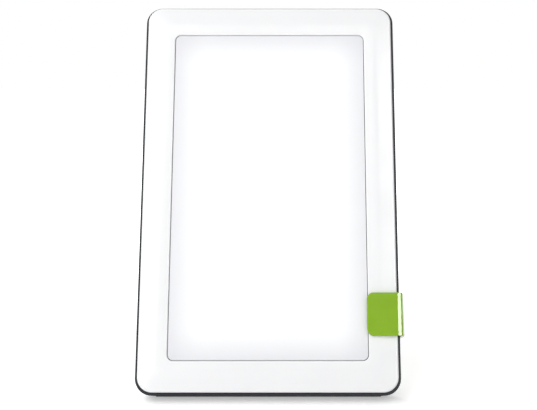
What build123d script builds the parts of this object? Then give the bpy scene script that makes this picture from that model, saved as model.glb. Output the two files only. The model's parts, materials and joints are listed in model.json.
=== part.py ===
"""Slim LED light therapy lamp that leans on a clip-on swing stand. Millimetres, +Z up.

The lamp is drawn in its own tilted coordinates: u to the right, v up along the face from its
centre, and t for depth, counted backwards from the front. The table is z = 0.
"""

import os
from math import cos, hypot, radians, sin

from build123d import *

# ---- driving dimensions: the lamp's outside ----
body_depth = 22.0
corner_radius = 10.0
lean_angle = 20.0
table_gap = 0.2
rim_width = 1.75
rear_edge_radius = 4.0
rim_edge_radius = 0.4

# ---- driving dimensions: front frame and window ----
window_width = 118.0
window_height = 202.0
window_radius = 3.5
window_edge_radius = 0.7
land_width = 7.4
crease_radius = 6.0
facet_drop = 1.06
front_edge_radius = 1.2
frame_radius = 9.0
frame_side_depth = 5.2
frame_wall = 1.95
bezel_thickness = 2.6
tongue_length = 3.8
tongue_clearance = 0.2

# ---- driving dimensions: rear shell ----
shell_wall = 2.0

# ---- driving dimensions: optical stack, front to back ----
diffuser_recess = 1.0
window_clearance = 0.4
gasket_reach = 0.2
stack_overlap = 3.0
gasket_thickness = 0.5
flange_thickness = 1.5
film_thickness = 0.3
guide_thickness = 3.8
reflector_thickness = 0.5
plate_thickness = 0.8

# ---- driving dimensions: LED boards down both long sides ----
led_gap = 0.2
led_height = 1.4
led_length = 3.4
led_width = 2.6
led_pitch = 5.5
led_board_thickness = 1.0
spreader_thickness = 1.5
spreader_gap = 0.1
mid_rail_width = 2.3

# ---- driving dimensions: screws and bosses ----
post_radius = 2.7
boss_radius = 4.0
boss_floor = 1.5
housing_screw_radius = 1.3
housing_hole_clearance = 0.2
pilot_clearance = 0.05
housing_head_radius = 2.4
housing_head_height = 1.8
head_clearance = 0.3
head_seat_depth = 3.5
driver_recess_radius = 1.0
driver_recess_depth = 1.0
post_gap = 0.2
wire_room = 4.9
blind_floor = 1.2
small_blind_floor = 0.6
ear_margin = 0.5
small_post_radius = 2.0
small_screw_radius = 0.9
small_head_radius = 1.9
small_head_height = 1.2
small_screw_inset = 40.0
plate_screw_radius = 0.7
plate_head_radius = 1.3
plate_head_height = 0.6
plate_screw_inset = 10.0
ear_front = 6.0
ear_thickness = 2.0

# ---- driving dimensions: driver board ----
board_right_reach = 28.0
board_height = 40.0
board_thickness = 1.6
board_standoff = 3.0
standoff_radius = 2.6
board_side_inset = 14.5
board_low_inset = 31.5
board_hole_inset = 4.0
capacitor_radius = 2.4
capacitor_length = 9.0
capacitor_count = 2
capacitor_spacing = 6.5
capacitor_offset = (11.5, 10.0)
inductor_size = 8.0
inductor_height = 4.2
inductor_corner_radius = 1.0
inductor_offset = (-11.0, 7.0)
chip_length = 5.0
chip_width = 4.0
chip_height = 1.5
chip_offset = (-11.0, -8.0)
connector_length = 7.0
connector_width = 4.5
connector_height = 4.6
connector_margin = 2.0
led_plug_offsets = (0.0, 27.0)
button_plug_offset = 14.0

# ---- driving dimensions: power jack in the left side ----
jack_length = 13.0
jack_width = 9.0
jack_height = 8.0
jack_bore_radius = 3.2
jack_pin_radius = 1.0
jack_pin_recess = 4.6
jack_rear_wall = 1.5
jack_plate_gap = 0.4
jack_board_gap = 0.3
wall_hole_clearance = 0.2

# ---- driving dimensions: power button and its switch ----
button_u = 0.0
button_top_inset = 33.5
button_radius = 7.9
button_clearance = 0.3
button_proud = 0.9
button_travel = 0.8
button_flange_width = 1.4
button_flange_thickness = 0.9
button_rest_gap = 0.1
button_top_thickness = 1.4
button_wall = 1.6
button_edge_radius = 0.5
stem_radius = 1.9
guide_wall = 1.2
guide_length = 2.5
ring_width = 1.8
ring_depth = 0.6
ring_proud = 0.2
button_board_width = 36.0
button_board_height = 15.0
button_board_thickness = 1.2
button_board_standoff = 3.2
board_corner_radius = 1.5
button_standoff_radius = 2.0
button_screw_spread = 28.0
switch_size = 6.0
switch_height = 1.2
plunger_radius = 1.5
plunger_clearance = 0.05
plunger_grip = 0.3

# ---- driving dimensions: rear details and feet ----
vent_length = 15.0
vent_width = 1.8
vent_pitch = 5.0
vent_count = 9
vent_inset = 13.5
label_width = 58.0
label_height = 26.0
label_depth = 0.3
label_corner_radius = 1.0
label_centre_v = -12.0
foot_side_inset = 10.5
foot_front = 18.0
foot_depth = 2.4
foot_corner_radius = 1.1
seat_clearance = 0.2
foot_sink = 1.2

# ---- driving dimensions: wires ----
wire_radius = 0.5
wire_bend = 2.0
wire_spacing = 1.6
wire_depth = 12.4

# ---- driving dimensions: clip-on stand ----
clip_height = 25.4
clip_rise = 34.2
clip_thickness = 2.1
clip_clearance = 0.2
clip_reach = 19.9
clip_bulge = 0.8
clip_shoulder = 0.6
clip_facet_inset = 1.8
clip_facet_drop = 0.55
clip_bend_radius = 1.2
clip_corner_radius = 4.0
pad_length = 16.0
pad_width = 8.0
pad_sink = 0.8
pad_corner_radius = 0.8
pad_gap = 0.1
hinge_inset = 21.5
knuckle_radius = 3.0
knuckle_lift = 0.3
knuckle_gap = 0.2
knuckle_share = 0.25
hinge_pin_radius = 1.25
hinge_running_clearance = 0.08
leg_open_angle = 62.0
leg_length = 91.0
leg_thickness = 2.4
leg_corner_radius = 4.0
leg_root_gap = 0.6
stop_reach = 7.5
stop_thickness = 2.0
stop_gap = 0.1
leg_foot_length = 14.0
leg_foot_wall = 1.2
leg_foot_rise = 9.0
leg_foot_drop = 8.0

# ---- worked out from the driving dimensions ----
lean_sin = sin(radians(lean_angle))
lean_cos = cos(radians(lean_angle))
post_inset = rim_width + frame_wall + post_gap + post_radius
side_stack = (stack_overlap + led_gap + led_height + led_board_thickness + spreader_thickness
              + spreader_gap + mid_rail_width)
end_stack = stack_overlap + led_gap + mid_rail_width
half_width = window_width / 2 + side_stack + post_gap + post_radius + post_inset
half_height = window_height / 2 + end_stack + wire_room + post_gap + post_radius + post_inset
body_width = 2 * half_width
body_height = 2 * half_height
frame_width = body_width - 2 * rim_width
frame_height = body_height - 2 * rim_width
cavity_width = frame_width - 2 * frame_wall
cavity_height = frame_height - 2 * frame_wall
cavity_radius = frame_radius - frame_wall
shell_inner_depth = body_depth - shell_wall
tongue_end = frame_side_depth + tongue_length

stack_width = window_width + 2 * stack_overlap
stack_height = window_height + 2 * stack_overlap
stack_radius = window_radius
gasket_back = bezel_thickness + gasket_thickness
flange_back = gasket_back + flange_thickness
film_back = flange_back + film_thickness
guide_back = film_back + guide_thickness
reflector_back = guide_back + reflector_thickness
plate_back = reflector_back + plate_thickness

led_face_u = stack_width / 2 + led_gap
led_board_u = led_face_u + led_height
spreader_u = led_board_u + led_board_thickness
rail_inner_u = spreader_u + spreader_thickness + spreader_gap
rail_inner_v = stack_height / 2 + led_gap
mid_width = 2 * (rail_inner_u + mid_rail_width)
mid_height = 2 * (rail_inner_v + mid_rail_width)

post_u = half_width - post_inset
post_v = half_height - post_inset
post_places = [(side * post_u, row * post_v) for side in (-1, 1) for row in (-1, 0, 1)]
head_seat = body_depth - head_seat_depth
small_screw_v = window_height / 2 - small_screw_inset
small_places = [(side * post_u, row * small_screw_v) for side in (-1, 1) for row in (-1, 1)]
ear_back = ear_front + ear_thickness
plate_screw_v = rail_inner_v + mid_rail_width / 2
plate_screw_u = window_width / 2 - plate_screw_inset
plate_screw_places = [(side * plate_screw_u, row * plate_screw_v)
                      for side in (-1, 1) for row in (-1, 1)]

board_left_u = board_side_inset - half_width
board_width = board_right_reach - board_left_u
board_centre_u = board_left_u + board_width / 2
board_centre_v = board_low_inset + board_height / 2 - half_height
board_back = shell_inner_depth - board_standoff
board_front = board_back - board_thickness
board_hole_places = [(board_centre_u + side * (board_width / 2 - board_hole_inset),
                      board_centre_v + row * (board_height / 2 - board_hole_inset))
                     for side in (-1, 1) for row in (-1, 1)]
jack_front_depth = plate_back + jack_plate_gap
jack_t = jack_front_depth + jack_height / 2
jack_v = board_centre_v
jack_mouth_u = shell_wall - half_width
wall_hole_radius = jack_bore_radius + wall_hole_clearance

button_v = half_height - button_top_inset
button_hole_radius = button_radius + button_clearance
flange_radius = button_radius + button_flange_width
flange_back_depth = shell_inner_depth - button_rest_gap
flange_front_depth = flange_back_depth - button_flange_thickness
button_back_depth = body_depth + button_proud
guide_radius = flange_radius + button_clearance
button_board_back = shell_inner_depth - button_board_standoff
button_board_front = button_board_back - button_board_thickness
switch_back = button_board_back + switch_height
plunger_front = switch_back - plunger_grip
plunger_back = plunger_front + plunger_grip + button_travel + plunger_grip
button_screw_places = [(button_u + side * button_screw_spread / 2, button_v) for side in (-1, 1)]
ring_radius = button_hole_radius + ring_width

vent_centre_v = half_height - vent_inset
foot_length = body_width - 2 * foot_side_inset
foot_t = foot_front + foot_depth / 2
clip_v = clip_rise - half_height
clip_centre_v = clip_v + clip_height / 2
clip_inner_u = half_width + clip_clearance
clip_shoulder_u = clip_inner_u + clip_shoulder
clip_facet_u = half_width - clip_facet_inset
clip_outer_u = clip_inner_u + clip_thickness + clip_bulge
clip_front_t = -clip_clearance
clip_rear_t = body_depth + clip_clearance
clip_edge_u = half_width - clip_reach
clip_front = clip_front_t - clip_thickness
clip_plate_back = clip_rear_t + clip_thickness
hinge_u = half_width - hinge_inset
hinge_t = clip_rear_t + knuckle_lift + knuckle_radius
knuckle_length = clip_height * knuckle_share
leg_knuckle_length = clip_height - 2 * (knuckle_length + knuckle_gap)
leg_cos = cos(radians(leg_open_angle))
leg_sin = sin(radians(leg_open_angle))

# The face's centre, placed so that the whole lamp stands on the table about the Z axis.
face_x = (half_width - clip_outer_u) / 2
face_z = (table_gap + rear_edge_radius + (half_height - rear_edge_radius) * lean_cos
          + (body_depth - rear_edge_radius) * lean_sin)
front_reach = ((frame_height / 2 - front_edge_radius) * lean_sin + front_edge_radius
               - (facet_drop + front_edge_radius) * lean_cos)
leg_foot_half = leg_thickness / 2 + leg_foot_wall
leg_back_per_length = leg_sin * lean_cos
back_reach = ((clip_v + clip_height - leg_corner_radius) * lean_sin + hinge_t * lean_cos
              + (leg_length - leg_corner_radius) * leg_back_per_length
              + leg_corner_radius * hypot(lean_sin, leg_back_per_length)
              + leg_thickness / 2 * leg_cos * lean_cos)
face_y = (front_reach - back_reach) / 2
face = Plane(origin=(face_x, face_y, face_z), x_dir=(1, 0, 0), z_dir=(0, -lean_cos, lean_sin))


def at(u, v, t):
    """The point in space at the lamp's own u, v and depth t."""
    return face.from_local_coords(Vector(u, v, -t))


def layer(t, u=0.0, v=0.0):
    """A plane parallel to the face at depth t, drawn in u and v, looking out of the front."""
    return Plane(origin=at(u, v, t), x_dir=(1, 0, 0), z_dir=face.z_dir)


def level(v, u=0.0, t=0.0):
    """A plane across the face at height v, drawn in u and depth, looking up the face."""
    return Plane(origin=at(u, v, t), x_dir=(1, 0, 0), z_dir=face.y_dir)


def upright(u, v=0.0, t=0.0):
    """A plane across the lamp at u, drawn in v and minus depth, looking right."""
    return Plane(origin=at(u, v, t), x_dir=face.y_dir, z_dir=(1, 0, 0))


def slab(width, height, radius, front, back, places=((0.0, 0.0),), mode=Mode.ADD):
    """Rounded rectangles parallel to the face, filled from depth back up to depth front."""
    with BuildSketch(layer(back)) as outline:
        with Locations(*places):
            RectangleRounded(width, height, radius)
    extrude(outline.sketch, amount=back - front, mode=mode)


def block(width, height, front, back, places=((0.0, 0.0),), mode=Mode.ADD):
    """Square-cornered plates parallel to the face, from depth back up to depth front."""
    with BuildSketch(layer(back)) as outline:
        with Locations(*places):
            Rectangle(width, height)
    extrude(outline.sketch, amount=back - front, mode=mode)


def disc(radius, front, back, places=((0.0, 0.0),), mode=Mode.ADD):
    """Round bosses or holes square to the face, from depth back up to depth front."""
    with BuildSketch(layer(back)) as outline:
        with Locations(*places):
            Circle(radius)
    extrude(outline.sketch, amount=back - front, mode=mode)


def edges_at_depth(part, t):
    """The edges of a part that lie wholly at depth t."""
    def depth_of(point):
        return -face.to_local_coords(point).Z

    return ShapeList(edge for edge in part.edges()
                     if abs(depth_of(edge @ 0) - t) < 1e-4 and abs(depth_of(edge @ 1) - t) < 1e-4
                     and abs(depth_of(edge @ 0.5) - t) < 1e-4)


os.makedirs("parts", exist_ok=True)


def save(piece, name):
    """Label a finished piece and write it under its own name."""
    piece.part.label = name
    export_step(piece.part, f"parts/{name}.step")


# ---- front frame: glossy white bezel with its crowned face, side wall, tongue and posts ----
with BuildPart() as front_frame:
    slab(frame_width, frame_height, frame_radius, facet_drop, frame_side_depth)
    with BuildSketch(layer(facet_drop)):
        RectangleRounded(frame_width, frame_height, frame_radius)
    with BuildSketch(layer(0)):
        RectangleRounded(window_width + 2 * land_width, window_height + 2 * land_width,
                         crease_radius)
    loft()
    fillet(edges_at_depth(front_frame, facet_drop), front_edge_radius)
    slab(cavity_width, cavity_height, cavity_radius, bezel_thickness, frame_side_depth,
         mode=Mode.SUBTRACT)
    slab(window_width, window_height, window_radius, 0, bezel_thickness, mode=Mode.SUBTRACT)
    window_edges = edges_at_depth(front_frame, 0).filter_by(
        lambda edge: abs((face.to_local_coords(edge @ 0.5)).X) < window_width / 2 + 1
        and abs((face.to_local_coords(edge @ 0.5)).Y) < window_height / 2 + 1)
    fillet(window_edges, window_edge_radius)
    tongue_width = body_width - 2 * (shell_wall + tongue_clearance)
    tongue_height = body_height - 2 * (shell_wall + tongue_clearance)
    slab(tongue_width, tongue_height, corner_radius - shell_wall - tongue_clearance,
         bezel_thickness + 1, tongue_end)
    slab(cavity_width, cavity_height, cavity_radius, bezel_thickness, tongue_end,
         mode=Mode.SUBTRACT)
    disc(post_radius, bezel_thickness, tongue_end, post_places)
    disc(small_post_radius, bezel_thickness, ear_front, small_places)
    disc(housing_screw_radius + pilot_clearance, bezel_thickness + blind_floor, tongue_end,
         post_places, mode=Mode.SUBTRACT)
    disc(small_screw_radius + pilot_clearance, bezel_thickness + small_blind_floor, ear_front,
         small_places, mode=Mode.SUBTRACT)
save(front_frame, "front_frame")


# ---- foam gasket between the bezel and the diffuser's flange ----
with BuildPart() as foam_gasket:
    slab(stack_width, stack_height, stack_radius, bezel_thickness, gasket_back)
    slab(window_width - 2 * gasket_reach, window_height - 2 * gasket_reach,
         window_radius, bezel_thickness, gasket_back, mode=Mode.SUBTRACT)
save(foam_gasket, "foam_gasket")

# ---- opal diffuser: a flange behind the bezel and a plateau that fills the window ----
with BuildPart() as diffuser:
    slab(stack_width, stack_height, stack_radius, gasket_back, flange_back)
    slab(window_width - 2 * window_clearance, window_height - 2 * window_clearance,
         window_radius - window_clearance, diffuser_recess, gasket_back)
save(diffuser, "diffuser")

# ---- the flat stack behind the diffuser ----
with BuildPart() as diffusion_film:
    slab(stack_width, stack_height, stack_radius, flange_back, film_back)
save(diffusion_film, "diffusion_film")

with BuildPart() as light_guide:
    block(stack_width, stack_height, film_back, guide_back)
save(light_guide, "light_guide")

with BuildPart() as reflector_sheet:
    block(stack_width, stack_height, guide_back, reflector_back)
save(reflector_sheet, "reflector_sheet")

# ---- LED boards, their LEDs and the aluminium spreaders, on the left and right ----
led_rows = int(window_height / led_pitch)
led_t = (film_back + guide_back) / 2
for name, sign in (("left", -1), ("right", 1)):
    with BuildPart() as led_board:
        block(led_board_thickness, window_height, film_back, guide_back,
              [(sign * (led_board_u + led_board_thickness / 2), 0)])
    save(led_board, f"led_board_{name}")

    with BuildPart() as leds:
        with BuildSketch(layer(led_t + led_width / 2)) as led_outlines:
            with Locations((sign * (led_face_u + led_height / 2), 0)):
                with GridLocations(1, led_pitch, 1, led_rows):
                    Rectangle(led_height, led_length)
        extrude(led_outlines.sketch, amount=led_width)
    save(leds, f"leds_{name}")

    with BuildPart() as heat_spreader:
        block(spreader_thickness, window_height, gasket_back, reflector_back,
              [(sign * (spreader_u + spreader_thickness / 2), 0)])
    save(heat_spreader, f"heat_spreader_{name}")

# ---- mid frame: a ring round the stack, with ears that screw to the front frame ----
wire_notch_u = led_board_u + led_board_thickness / 2
wire_notch = 4 * wire_radius + wire_spacing
with BuildPart() as mid_frame:
    block(mid_width, mid_height, bezel_thickness, reflector_back)
    block(2 * rail_inner_u, 2 * rail_inner_v, bezel_thickness, reflector_back,
          mode=Mode.SUBTRACT)
    ear_length = post_u + small_head_radius + ear_margin - rail_inner_u
    block(ear_length, 2 * (small_head_radius + ear_margin), ear_front, ear_back,
          [(side * (rail_inner_u + ear_length / 2), v) for side in (-1, 1)
           for v in (-small_screw_v, small_screw_v)])
    disc(small_screw_radius + housing_hole_clearance, ear_front, ear_back, small_places,
         mode=Mode.SUBTRACT)
    disc(plate_screw_radius + pilot_clearance, gasket_back, reflector_back, plate_screw_places,
         mode=Mode.SUBTRACT)
    block(wire_notch, 4 * mid_rail_width, gasket_back, reflector_back,
          [(side * wire_notch_u, -mid_height / 2) for side in (-1, 1)], mode=Mode.SUBTRACT)
save(mid_frame, "mid_frame")

# ---- steel back plate that closes the stack ----
with BuildPart() as back_plate:
    block(mid_width, mid_height, reflector_back, plate_back)
    disc(plate_screw_radius + pilot_clearance, reflector_back, plate_back, plate_screw_places,
         mode=Mode.SUBTRACT)
    block(wire_notch, 4 * mid_rail_width, reflector_back, plate_back,
          [(side * wire_notch_u, -mid_height / 2) for side in (-1, 1)], mode=Mode.SUBTRACT)
save(back_plate, "back_plate")


def screws(part, places, shank_radius, head_radius, tip, seat, head_height, recess):
    """Pan-head screws: the shank runs from depth tip to depth seat, and the head sits past it."""
    outward = 1 if seat > tip else -1
    head_top = seat + outward * head_height
    floor = head_top - outward * head_height / 2
    disc(shank_radius, min(tip, seat), max(tip, seat), places)
    disc(head_radius, min(seat, head_top), max(seat, head_top), places)
    fillet(edges_at_depth(part, head_top), head_height / 3)
    with BuildSketch(layer(max(head_top, floor))) as drive:
        with Locations(*places):
            RegularPolygon(recess, 6)
    extrude(drive.sketch, amount=head_height / 2, mode=Mode.SUBTRACT)


# ---- small screws: mid frame to front frame, and back plate to mid frame ----
with BuildPart() as mid_frame_screws:
    screws(mid_frame_screws, small_places, small_screw_radius, small_head_radius, bezel_thickness + 1,
           ear_back, small_head_height, small_head_radius / 2)
save(mid_frame_screws, "mid_frame_screws")

with BuildPart() as plate_screws:
    screws(plate_screws, plate_screw_places, plate_screw_radius, plate_head_radius, gasket_back + 1,
           plate_back, plate_head_height, plate_head_radius / 2)
save(plate_screws, "plate_screws")

# ---- rear shell: dark tray with bosses, button guide, vents, jack hole, label and foot seats ----
with BuildPart() as shell_cavity:
    slab(body_width - 2 * shell_wall, body_height - 2 * shell_wall, corner_radius - shell_wall,
         frame_side_depth, shell_inner_depth)
    fillet(edges_at_depth(shell_cavity, shell_inner_depth), rear_edge_radius - shell_wall)

with BuildPart() as rear_shell:
    slab(body_width, body_height, corner_radius, frame_side_depth, body_depth)
    fillet(edges_at_depth(rear_shell, body_depth), rear_edge_radius)
    fillet(edges_at_depth(rear_shell, frame_side_depth), rim_edge_radius)
    add(shell_cavity.part, mode=Mode.SUBTRACT)
    disc(post_radius, tongue_end, shell_inner_depth + shell_wall / 2, post_places)
    disc(boss_radius, head_seat - boss_floor, shell_inner_depth + shell_wall / 2, post_places)
    disc(housing_screw_radius + housing_hole_clearance, tongue_end, body_depth, post_places,
         mode=Mode.SUBTRACT)
    disc(housing_head_radius + head_clearance, head_seat, body_depth, post_places,
         mode=Mode.SUBTRACT)
    disc(standoff_radius, board_back, shell_inner_depth + shell_wall / 2, board_hole_places)
    disc(small_screw_radius + pilot_clearance, board_back, shell_inner_depth + shell_wall / 2,
         board_hole_places, mode=Mode.SUBTRACT)
    disc(button_standoff_radius, button_board_back, shell_inner_depth + shell_wall / 2,
         button_screw_places)
    disc(small_screw_radius + pilot_clearance, button_board_back,
         shell_inner_depth + shell_wall / 2, button_screw_places, mode=Mode.SUBTRACT)
    disc(guide_radius + guide_wall, shell_inner_depth - guide_length, shell_inner_depth,
         [(button_u, button_v)])
    disc(guide_radius, shell_inner_depth - guide_length, shell_inner_depth,
         [(button_u, button_v)], mode=Mode.SUBTRACT)
    disc(button_hole_radius, shell_inner_depth, body_depth, [(button_u, button_v)],
         mode=Mode.SUBTRACT)
    disc(ring_radius, body_depth - ring_depth, body_depth, [(button_u, button_v)],
         mode=Mode.SUBTRACT)
    with BuildSketch(layer(body_depth)) as vent_slots:
        with Locations((0, vent_centre_v)):
            with GridLocations(vent_pitch, 1, vent_count, 1):
                SlotOverall(vent_length, vent_width, rotation=90)
        with Locations((0, -vent_centre_v)):
            with GridLocations(vent_pitch, 1, vent_count, 1):
                SlotOverall(vent_length, vent_width, rotation=90)
    extrude(vent_slots.sketch, amount=shell_wall, mode=Mode.SUBTRACT)
    block(label_width, label_height, body_depth - label_depth, body_depth,
          [(0, label_centre_v)], mode=Mode.SUBTRACT)
    with BuildSketch(upright(-half_width, jack_v, jack_t)) as jack_hole:
        Circle(wall_hole_radius)
    extrude(jack_hole.sketch, amount=shell_wall, mode=Mode.SUBTRACT)
    with BuildSketch(level(-half_height, 0, foot_t)) as foot_seat:
        Rectangle(foot_length + 2 * seat_clearance, foot_depth + 2 * seat_clearance)
    extrude(foot_seat.sketch, amount=foot_sink, mode=Mode.SUBTRACT)
save(rear_shell, "rear_shell")

with BuildPart() as housing_screws:
    screws(housing_screws, post_places, housing_screw_radius, housing_head_radius, frame_side_depth,
           head_seat, housing_head_height, driver_recess_radius)
save(housing_screws, "housing_screws")

# ---- rubber foot: a strip along the rear edge's underside, cut level with the table ----
with BuildPart() as rubber_strip:
    with BuildSketch(level(foot_sink - half_height, 0, foot_t)) as strip_outline:
        RectangleRounded(foot_length, foot_depth, foot_corner_radius)
    extrude(strip_outline.sketch, amount=-(foot_sink + body_depth))
    split(bisect_by=Plane.XY, keep=Keep.TOP)
save(rubber_strip, "rubber_strip")

# ---- blank rating label in its shallow recess ----
with BuildPart() as rating_label:
    slab(label_width - 2 * seat_clearance, label_height - 2 * seat_clearance,
         label_corner_radius, body_depth - label_depth, body_depth, [(0, label_centre_v)])
save(rating_label, "rating_label")

# ---- driver board: resin board with holes and an edge notch for the jack ----
with BuildPart() as driver_board:
    block(board_width, board_height, board_front, board_back,
          [(board_centre_u, board_centre_v)])
    disc(small_screw_radius + housing_hole_clearance, board_front, board_back,
         board_hole_places, mode=Mode.SUBTRACT)
    jack_rear_u = jack_mouth_u + jack_board_gap + jack_length
    block(2 * (jack_rear_u + jack_board_gap - board_left_u),
          jack_width + 2 * jack_board_gap, board_front, board_back, [(board_left_u, jack_v)],
          mode=Mode.SUBTRACT)
save(driver_board, "driver_board")


# ---- driver board parts: jack, capacitors, inductor, chip and connectors ----
jack_centre_u = jack_mouth_u + jack_board_gap + jack_length / 2
with BuildPart() as dc_jack:
    block(jack_length, jack_width, jack_front_depth, jack_front_depth + jack_height,
          [(jack_centre_u, jack_v)])
    with BuildSketch(upright(jack_centre_u - jack_length / 2, jack_v, jack_t)) as jack_bore:
        Circle(jack_bore_radius)
    extrude(jack_bore.sketch, amount=jack_length - jack_rear_wall, mode=Mode.SUBTRACT)
save(dc_jack, "dc_jack")

with BuildPart() as jack_pin:
    pin_start = jack_mouth_u - shell_wall + jack_pin_recess
    pin_end = jack_centre_u + jack_length / 2 - jack_rear_wall
    with BuildSketch(upright(pin_start, jack_v, jack_t)) as pin_outline:
        Circle(jack_pin_radius)
    extrude(pin_outline.sketch, amount=pin_end - pin_start)
save(jack_pin, "jack_pin")

capacitor_u = board_centre_u + capacitor_offset[0]
capacitor_v = board_centre_v + capacitor_offset[1]
with BuildPart() as capacitors:
    for index in range(capacitor_count):
        with BuildSketch(upright(capacitor_u, capacitor_v - index * capacitor_spacing,
                                 board_front - capacitor_radius)) as can:
            Circle(capacitor_radius)
        extrude(can.sketch, amount=capacitor_length)
save(capacitors, "capacitors")

with BuildPart() as inductor:
    slab(inductor_size, inductor_size, inductor_corner_radius,
         board_front - inductor_height, board_front,
         [(board_centre_u + inductor_offset[0], board_centre_v + inductor_offset[1])])
save(inductor, "inductor")

with BuildPart() as driver_chip:
    block(chip_length, chip_width, board_front - chip_height, board_front,
          [(board_centre_u + chip_offset[0], board_centre_v + chip_offset[1])])
save(driver_chip, "driver_chip")

connector_v = board_centre_v - board_height / 2 + connector_margin + connector_width / 2
connector_places = [(board_centre_u + offset, connector_v) for offset in led_plug_offsets]
button_plug_place = (button_u + button_plug_offset,
                     board_centre_v + board_height / 2 - connector_margin - connector_width / 2)
with BuildPart() as board_connectors:
    block(connector_length, connector_width, board_front - connector_height, board_front,
          [*connector_places, button_plug_place])
save(board_connectors, "board_connectors")

with BuildPart() as board_screws:
    screws(board_screws, board_hole_places, small_screw_radius, small_head_radius,
           shell_inner_depth, board_front, small_head_height, small_head_radius / 2)
save(board_screws, "board_screws")


# ---- power button: board, tact switch and plunger inside, sprung cap and trim ring outside ----
with BuildPart() as button_board:
    slab(button_board_width, button_board_height, board_corner_radius,
         button_board_front, button_board_back, [(button_u, button_v)])
    disc(small_screw_radius + housing_hole_clearance, button_board_front, button_board_back,
         button_screw_places, mode=Mode.SUBTRACT)
save(button_board, "button_board")

with BuildPart() as button_screws:
    screws(button_screws, button_screw_places, small_screw_radius, small_head_radius,
           shell_inner_depth, button_board_front, small_head_height, small_head_radius / 2)
save(button_screws, "button_screws")

with BuildPart() as tact_switch:
    block(switch_size, switch_size, button_board_back, switch_back, [(button_u, button_v)])
    disc(plunger_radius + plunger_clearance, button_board_back, switch_back,
         [(button_u, button_v)], mode=Mode.SUBTRACT)
save(tact_switch, "tact_switch")

with BuildPart() as switch_plunger:
    disc(plunger_radius, plunger_front, plunger_back, [(button_u, button_v)])
save(switch_plunger, "switch_plunger")

with BuildPart() as power_button:
    disc(button_radius, flange_front_depth, button_back_depth, [(button_u, button_v)])
    fillet(edges_at_depth(power_button, button_back_depth), button_edge_radius)
    disc(flange_radius, flange_front_depth, flange_back_depth, [(button_u, button_v)])
    disc(button_radius - button_wall, flange_front_depth,
         button_back_depth - button_top_thickness, [(button_u, button_v)], mode=Mode.SUBTRACT)
    disc(stem_radius, plunger_back, button_back_depth - button_top_thickness,
         [(button_u, button_v)])
save(power_button, "power_button")

with BuildPart() as button_ring:
    disc(ring_radius - seat_clearance / 2, body_depth - ring_depth, body_depth + ring_proud,
         [(button_u, button_v)])
    disc(button_hole_radius, body_depth - ring_depth, body_depth + ring_proud,
         [(button_u, button_v)], mode=Mode.SUBTRACT)
    fillet(edges_at_depth(button_ring, body_depth + ring_proud), ring_proud / 2)
save(button_ring, "button_ring")


def wire(*points):
    """A round wire through points of the lamp's u, v and depth, with rounded corners."""
    with BuildLine() as path:
        FilletPolyline(*[at(*point) for point in points], radius=wire_bend)
    with BuildSketch(Plane(origin=path.line @ 0, z_dir=path.line % 0)) as section:
        Circle(wire_radius)
    sweep(section.sketch, path=path.line)


# ---- wires: a pair to each LED board through its notch, and a pair to the button board ----
lane_base_v = -mid_height / 2 - wire_bend - wire_radius
for name, sign, place in (("left", -1, connector_places[0]), ("right", 1, connector_places[1])):
    with BuildPart() as led_wires:
        for lane in (-0.5, 0.5):
            plug_u = place[0] + sign * lane * wire_spacing
            lane_v = lane_base_v - (0.5 - lane) * wire_spacing
            pad_t = led_t + lane * wire_spacing
            wire((plug_u, connector_v - connector_width / 2, wire_depth),
                 (plug_u, lane_v, wire_depth),
                 (sign * wire_notch_u, lane_v, wire_depth),
                 (sign * wire_notch_u, lane_v, pad_t),
                 (sign * wire_notch_u, -window_height / 2, pad_t))
    save(led_wires, f"led_wires_{name}")

button_board_t = (button_board_front + button_board_back) / 2
button_board_low_v = button_v - button_board_height / 2
with BuildPart() as button_wires:
    for lane in (-0.5, 0.5):
        plug_u = button_plug_place[0] + lane * wire_spacing
        wire((plug_u, button_plug_place[1] + connector_width / 2, wire_depth),
             (plug_u, button_board_low_v - 8 * wire_bend, wire_depth),
             (plug_u, button_board_low_v - 4 * wire_bend, button_board_t),
             (plug_u, button_board_low_v, button_board_t))
save(button_wires, "button_wires")

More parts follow.
